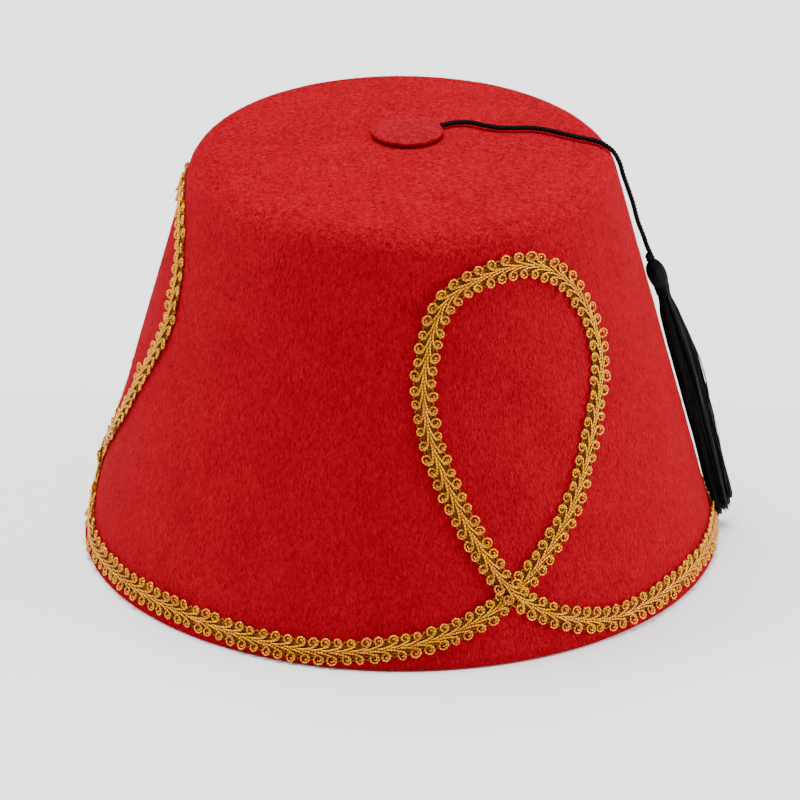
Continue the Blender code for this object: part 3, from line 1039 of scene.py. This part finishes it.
    def build_footing(self, finish: bpy.types.Material) -> None:
        """Make the core under the stem, the flat threads that everything is sewn to, and the
        threads that zigzag under the scrolls.

        Args:
            finish: the footing's finish, a darker gold as painted shade under the scrolls.
        """
        strands = Strands("braid_footing")
        end = self.strip.length - self.thread / 2
        along = np.linspace(0.0, end, self.scrolls * 3)
        self.add_thread(strands, (along, 0.0, self.core_height), self.core_thread, 6)
        for across in self.ground_places:
            self.add_thread(strands, (along, across, self.ground_height), self.ground_thread, 4,
                            0.0, self.ground_flatness)
        along = np.linspace(0.0, end, self.scrolls * 8)
        for hand in (1, -1):
            for turn, peak in zip((0.5, 0.0), self.footing_peaks):
                phase = along / self.pitch - (0.5 if hand < 0 else 0.0) - turn
                swing = 0.5 + 0.5 * np.cos(phase * math.tau)
                across = hand * (self.footing_low + (peak - self.footing_low) * swing)
                self.add_thread(strands, (along, across, self.footing_height),
                                self.footing_thread, 4, self.footing_lifted)
        dress(strands.build(), finish, Slot.GOLD, "braid")

    def build(self, gold: bpy.types.Material, shaded_gold: bpy.types.Material) -> None:
        """Make the three stretches of the strip, and the footing under them all."""
        for motif in Motif:
            self.build_stretch(motif, gold)
        self.build_footing(shaded_gold)


@dataclass
class Cord:
    """The limp twisted cord from under the button to the tassel, and the knot that ends it."""

    form: CrownForm
    inside: "Tassel"
    diameter: float = 0.0016
    plies: int = 3
    twist: float = 0.0036
    ply_share: float = 0.235
    spacing: float = 0.0003
    inside_shares: tuple[float, ...] = (0.02, 0.06, 0.10, 0.15, 0.20, 0.26, 0.32)
    inside_proud: float = 0.0033
    knot_place: tuple[float, float, float] = (7.3, 0.0858, 0.0021)
    knot_scale: float = 0.00034
    knot_cord: float = 0.00125

    def line(self) -> np.ndarray:
        """Give the fine points of the cord's middle line, on into the tassel that it carries."""
        inner = [self.inside.frame_at(np.array(share), np.array(self.inside_proud))[0]
                 for share in self.inside_shares]
        rows = np.concatenate((np.array(CORD_ROUTE), inner))
        return spline_points(rows, 0, len(rows) - 1, 12)

    def twisted(self, name: str, line: np.ndarray, diameter: float) -> bpy.types.Object:
        """Twist plies round a line.

        Args:
            name: the new object's name.
            line: the points of the cord's middle.
            diameter: across the whole cord.

        Returns:
            One mesh of the plies.
        """
        lengths = lengths_along(line)
        count = int(lengths[-1] / self.spacing)
        distance = np.linspace(0.0, lengths[-1], count)
        middle = read_at(line, lengths, distance)
        along = unit(np.gradient(middle, axis=0))
        side = unit(np.cross(along, (0.3, -1.0, 0.4)))
        up = np.cross(side, along)
        strands = Strands(name)
        ply_radius = diameter * self.ply_share
        for number in range(self.plies):
            turn = distance / self.twist * math.tau + number * math.tau / self.plies
            ring = side * np.cos(turn)[:, None] + up * np.sin(turn)[:, None]
            path = middle + ring * (diameter / 2 - ply_radius)
            strands.add(path[None], ring[None], np.full((1, count), ply_radius), 7)
        return strands.build()

    def knot(self) -> bpy.types.Object:
        """Tie the small overhand knot."""
        turn = np.linspace(0.0, math.tau, 80)
        flat = np.stack((np.sin(turn) + 2 * np.sin(2 * turn), np.cos(turn) - 2 * np.cos(2 * turn),
                         -1.2 * np.sin(3 * turn)), axis=1) * self.knot_scale
        angle, height, proud = self.knot_place
        middle = self.form.on_wall(np.array(angle), np.array(height), np.array(proud))
        outward, round_hat, up_wall = self.form.wall_directions(np.array(angle))
        line = (middle + flat[:, :1] * round_hat + flat[:, 1:2] * up_wall
                + flat[:, 2:] * outward)
        return self.twisted("cord_knot", line, self.knot_cord)

    def build(self, finish: bpy.types.Material) -> tuple[bpy.types.Object, bpy.types.Object]:
        """Make the cord and its knot, and dress both."""
        line = self.line()
        cord = dress(self.twisted("hanging_cord", line, self.diameter), finish, Slot.CORD, "cord")
        knot = dress(self.knot(), finish, Slot.CORD, "tassel_knot")
        log.info("hanging_cord: %.1f mm long", lengths_along(line)[-1] / MM)
        return cord, knot

    def declare(self) -> None:
        line = self.line()


@dataclass
class Tassel:
    """The tassel: threads over a round head, a wound neck and a skirt in loose locks."""

    form: CrownForm
    top: float = 0.0857
    length: float = 0.0835
    width: float = 0.0096
    angle: float = 7.3
    swing: float = -3.8
    thread: float = 0.00030
    skirt_threads: int = 600
    skirt_strands: int = 96
    strand_spread: float = 0.06
    inner_reach: float = 0.4
    end_spread: float = 0.009
    strays: int = 40
    stray_spread: float = 0.8
    head_threads: int = 38
    head_thread: float = 0.00046
    head_twist: float = 0.5
    loose_copies: int = 3
    loose_end: float = 0.972
    lock_gather: float = 0.42
    gather_start: float = 0.25
    wave: float = 0.08
    wave_start: float = 0.2
    wave_turn: float = 9.0
    wall_clearance: float = 0.00034
    braid_clearance: float = 0.0016
    braid_share: float = 0.91
    braid_ramp: float = 0.06
    neck: tuple[float, float] = (0.118, 0.148)
    stations: int = 18
    neck_turns: int = 7
    seed: int = 23

    # Rows of the head and neck, from the top: place as a share of the length, and the inner
    # and outer side's distances from the wall in millimetres
    HEAD = (
        (0.010, 2.90, 3.40),
        (0.014, 2.00, 4.20),
        (0.028, 0.70, 5.05),
        (0.048, 0.22, 5.75),
        (0.070, 0.24, 6.10),
        (0.092, 0.62, 6.10),
        (0.112, 1.18, 5.85),
        (0.132, 1.48, 5.60),
        (0.160, 1.55, 5.40),
        (0.195, 1.45, 5.50),
    )
    # Rows of the skirt: place as a share of the length, the inner and outer side's distances
    # from the wall in millimetres, and the width as a share of the whole
    SKIRT = (
        (0.120, 1.62, 5.45, 0.42),
        (0.160, 1.55, 5.45, 0.50),
        (0.200, 0.75, 6.20, 0.72),
        (0.240, 0.36, 6.80, 0.88),
        (0.320, 0.24, 7.45, 1.02),
        (0.420, 0.22, 7.75, 1.10),
        (0.520, 0.22, 7.65, 1.12),
        (0.640, 0.22, 7.35, 1.06),
        (0.760, 0.22, 7.10, 0.96),
        (0.880, 0.22, 6.80, 0.86),
        (1.000, 0.40, 6.30, 0.78),
    )
    # Rows of the threads that stand off the skirt's outer side: share where each leaves it
    # and comes back to it, millimetres that it stands off, and its turn round the bundle
    LOOSE = (
        (0.24, 0.88, 0.60, 0.10),
        (0.26, 0.74, 1.30, -0.12),
        (0.28, 0.82, 1.00, 0.22),
        (0.30, 0.66, 1.65, 0.03),
        (0.36, 0.92, 1.30, -0.25),
        (0.48, 1.02, 0.90, 0.30),
        (0.52, 1.10, 1.15, 0.05),
        (0.62, 1.20, 0.80, -0.10),
        (0.70, 1.30, 1.05, 0.12),
    )
    # Rows of the locks: where each lies round the bundle in degrees, with 0 away from the
    # wall, and its length as a share of the tassel's
    LOCKS = (
        (0.0, 0.982),
        (60.0, 0.994),
        (120.0, 1.004),
        (180.0, 1.010),
        (240.0, 1.000),
        (300.0, 0.986),
    )

    def frame_at(self, share: np.ndarray, proud: np.ndarray) -> tuple[np.ndarray, ...]:
        """Give points at distances from the wall and the two directions across the tassel."""
        height = self.top - share * self.length * math.cos(self.form.lean)
        angle = self.angle + self.swing * share
        middle = self.form.on_wall(angle, height, proud)
        outward, round_hat, _ = self.form.wall_directions(angle)
        return middle, outward, round_hat

    @staticmethod
    def between(table: tuple[tuple[float, ...], ...], steps: int) -> tuple[np.ndarray, ...]:
        """Read a table of inner and outer sides as smooth curves.

        Args:
            table: rows of share, inner and outer distance, and whatever follows.
            steps: readings from one row to the next.

        Returns:
            The shares, the middle's distance, half the thickness, and what follows.
        """
        fine = spline_points(np.array(table), 0, len(table) - 1, steps)
        inner, outer = fine[:, 1] * MM, fine[:, 2] * MM
        return fine[:, 0], (inner + outer) / 2, (outer - inner) / 2, *fine[:, 3:].T

    def head(self) -> Strands:
        """Run threads over the head and down into the neck."""
        share, middle_at, half = self.between(self.HEAD, 2)
        strands = Strands("tassel_head")
        turn = np.arange(self.head_threads) * (math.tau / self.head_threads)
        twist = np.linspace(0.0, self.head_twist, len(share))
        middle, outward, sideways = self.frame_at(share, middle_at)
        half = half - self.head_thread / 2
        angles = turn[:, None] + twist[None, :]
        ring = (outward[None] * np.cos(angles)[..., None] + sideways[None]
                * np.sin(angles)[..., None])
        paths = middle[None] + ring * np.maximum(half, 0.00012)[None, :, None]
        circle = math.tau * np.maximum(half, 0.0003) / self.head_threads
        radii = np.broadcast_to(np.minimum(circle * 0.54, self.head_thread / 2), paths.shape[:2])
        strands.add(paths, ring, radii, 5)
        return strands

    def add_core(self, strands: Strands) -> None:
        """Fill the head and neck behind the threads."""
        share, middle_at, half = self.between(self.HEAD, 1)
        middle, outward, _ = self.frame_at(share, middle_at)
        radii = np.maximum(half - self.head_thread * 0.8, 0.00008)
        strands.add(middle[None], outward[None], radii[None], 20)

    def add_neck(self, strands: Strands) -> None:
        """Wind the thread that ties the neck."""
        turn = np.linspace(0.0, self.neck_turns * math.tau, self.neck_turns * 22)
        share = np.linspace(*self.neck, len(turn))
        place, middle_at, half = self.between(self.HEAD, 4)
        middle, outward, sideways = self.frame_at(share, np.interp(share, place, middle_at))
        ring = outward * np.cos(turn)[:, None] + sideways * np.sin(turn)[:, None]
        path = middle + ring * (np.interp(share, place, half) + self.thread * 0.1)[:, None]
        strands.add(path[None], ring[None], np.full((1, len(turn)), self.thread * 0.5), 6)

    def plan_threads(self, random: np.random.Generator) -> tuple[np.ndarray, ...]:
        """Choose the place and the length of each of the skirt's threads, loose ones first.

        Args:
            random: the source of the places and lengths.

        Returns:
            Each thread's turn round the bundle, reach from its middle, turn off its lock's
            middle and end as a share of the length, and the loose threads' rows.
        """
        count = self.skirt_threads
        strand = random.integers(0, self.skirt_strands, count)
        turn = (random.uniform(0.0, math.tau, self.skirt_strands)[strand]
                + random.normal(0.0, self.strand_spread, count))
        turn[:self.strays] = random.normal(0.0, self.stray_spread, self.strays)
        reach = (np.sqrt(random.uniform(0.02, 1.0, self.skirt_strands))[strand]
                 * random.normal(0.95, 0.035, count)).clip(0.0, 0.97)
        locks, ends = np.array(self.LOCKS).T
        gap = (turn[:, None] - np.radians(locks) + math.pi) % math.tau - math.pi
        nearest = np.abs(gap).argmin(axis=1)
        pull = gap[np.arange(count), nearest]
        end = ends[nearest] + random.normal(0.0, self.end_spread, count)
        inner_end = 1.0 + random.normal(0.0, 0.01, count)
        end = np.where(reach < self.inner_reach, inner_end, end).clip(0.82, 1.03)
        reach[:self.strays] = random.uniform(0.92, 1.0, self.strays)
        loose = np.repeat(np.array(self.LOOSE), self.loose_copies, axis=0)
        loose[:, 2] *= random.uniform(0.45, 1.05, len(loose))
        loose[:, 3] += random.normal(0.0, 0.10, len(loose))
        turn[:len(loose)] = loose[:, 3]
        reach[:len(loose)] = 1.0
        pull[:len(loose)] = 0.0
        end[:len(loose)] = random.normal(self.loose_end, 0.006, len(loose))
        return turn, reach, pull, end, loose

    def skirt_paths(self, random: np.random.Generator) -> np.ndarray:
        """Lay the skirt's threads from the neck to their cut ends.

        Args:
            random: the source of the threads' places, lengths and waves.

        Returns:
            The threads' middle lines, as threads by stations by three.
        """
        turn, reach, pull, end, loose = self.plan_threads(random)
        place, middle_at, half, full = self.between(self.SKIRT, 6)
        share = place[0] + (end[:, None] - place[0]) * np.linspace(0.0, 1.0, self.stations)
        middle_at = np.interp(share, place, middle_at)
        half = np.interp(share, place, half) - self.thread / 2
        full = np.interp(share, place, full)
        gathered = (share - self.gather_start) / (1.0 - self.gather_start)
        gather = smooth_rise(gathered) * self.lock_gather
        angles = turn[:, None] - pull[:, None] * gather
        wave = random.normal(0.0, self.wave, (len(turn), 2))
        phase = random.uniform(0.0, math.tau, (len(turn), 2))
        run = share * self.wave_turn
        sway = smooth_rise((share - self.wave_start) / 0.5)
        deep = reach[:, None] * np.cos(angles) + wave[:, :1] * np.sin(run + phase[:, :1]) * sway
        wide = (reach[:, None] * np.sin(angles)
                + wave[:, 1:] * np.sin(run * 0.8 + phase[:, 1:]) * sway)
        over_braid = smooth_rise((share - self.braid_share) / self.braid_ramp)
        clear = self.wall_clearance + (self.braid_clearance - self.wall_clearance) * over_braid
        proud = np.maximum(middle_at + deep * half, clear)
        apart = share[:len(loose)]
        bow = np.clip((apart - loose[:, :1]) / (loose[:, 1:2] - loose[:, :1]), 0.0, 1.0)
        proud[:len(loose)] += loose[:, 2:3] * MM * np.sin(math.pi * bow)
        middle, _, sideways = self.frame_at(share, proud)
        return middle + sideways * (wide * full * self.width / 2)[..., None]

    def skirt(self) -> Strands:
        """Gather the skirt's threads."""
        random = np.random.default_rng(self.seed)
        paths = self.skirt_paths(random)
        ups = np.broadcast_to(self.form.wall_directions(np.array(self.angle))[0], paths.shape)
        radii = np.full(paths.shape[:2], self.thread / 2) * random.uniform(
            0.60, 1.25, (len(paths), 1))
        strands = Strands("tassel_skirt")
        strands.add(paths, ups, radii, 4)
        return strands

    def build(self, finish: bpy.types.Material) -> list[bpy.types.Object]:
        """Make the head and the skirt, and dress both in place of the CAD tassel."""
        head = self.head()
        self.add_core(head)
        self.add_neck(head)
        return [dress(strands.build(), finish, Slot.TASSEL, "tassel")
                for strands in (head, self.skirt())]


@dataclass(frozen=True)
class View:
    """The camera at the photo's viewing angle."""

    distance: float = 2.658
    elevation: float = 24.95
    aim: tuple[float, float, float] = (-0.00044, 0.0, 0.04337)
    lens: float = 399.85
    sensor: float = 36.0
    roll: float = 0.261

    def build(self) -> None:
        """Add the camera and make it the scene's."""
        data = bpy.data.cameras.new("photo_view")
        data.sensor_width = self.sensor
        data.lens = self.lens
        data.clip_end = 20.0
        camera = bpy.data.objects.new("photo_view", data)
        bpy.context.scene.collection.objects.link(camera)
        tilt = math.radians(self.elevation)
        back = Vector((0.0, -math.cos(tilt), math.sin(tilt)))
        camera.location = Vector(self.aim) + back * self.distance
        turn = back.to_track_quat("Z", "Y").to_matrix()
        roll = Matrix.Rotation(math.radians(self.roll), 3, "Z")
        camera.rotation_euler = (turn @ roll).to_euler()
        bpy.context.scene.camera = camera


@dataclass(frozen=True)
class Studio:
    """A pale floor and soft lights."""

    floor_size: float = 6.0
    floor_finish: FloorFinish = FloorFinish()
    world_strength: float = 0.29

    # Rows of the soft lamps: name, place, what it points at, width and power in watts
    LAMPS = (
        ("key_left", (-1.8, -0.2, 1.2), (0.0, 0.0, 0.05), 0.9, 23.0),
        ("overhead", (-0.2, 0.3, 1.9), (0.0, 0.0, 0.05), 1.4, 80.0),
        ("fill_right", (1.9, -0.1, 0.7), (0.0, 0.0, 0.05), 1.4, 52.0),
    )

    def lamp(self, name: str, place: tuple[float, float, float],
             target: tuple[float, float, float], width: float, power: float) -> None:
        """Hang one soft square lamp."""
        data = bpy.data.lights.new(name, "AREA")
        data.size = width
        data.energy = power
        lamp = bpy.data.objects.new(name, data)
        lamp.location = place
        lamp.rotation_euler = (Vector(place) - Vector(target)).to_track_quat("Z", "Y").to_euler()
        bpy.context.scene.collection.objects.link(lamp)

    def build(self) -> None:
        """Lay the floor, light the world and hang the lamps."""
        deselect()
        bpy.ops.mesh.primitive_plane_add(size=self.floor_size, location=(0.0, 0.0, 0.0))
        floor = bpy.context.object
        floor.name = "floor"
        floor.data.materials.append(self.floor_finish.make())
        world = bpy.data.worlds.new("soft_studio")
        world.use_nodes = True
        sky = world.node_tree.nodes["Background"]
        sky.inputs["Color"].default_value = (0.97, 0.98, 1.0, 1.0)
        sky.inputs["Strength"].default_value = self.world_strength
        bpy.context.scene.world = world
        for row in self.LAMPS:
            self.lamp(*row)


def main() -> None:
    """Build the view, the cord, the tassel and the rest of the hat in that order."""
    form = CrownForm()
    View().build()
    tassel = Tassel(form)
    cord = Cord(form, tassel)
    cord_piece, knot = cord.build(BLACK_CORD.make())
    tassel_pieces = tassel.build(BLACK_SILK.make())
    cord.declare()
    felt = FELT.make()
    Crown(form).build(felt)
    Nap(form).build(felt)
    Button(form).build(BUTTON_FELT.make())
    Braid(BraidStrip(form)).build(GOLD.make(), SHADED_GOLD_FOOT.make())
    Studio().build()


if __name__ == "__main__":
    main()
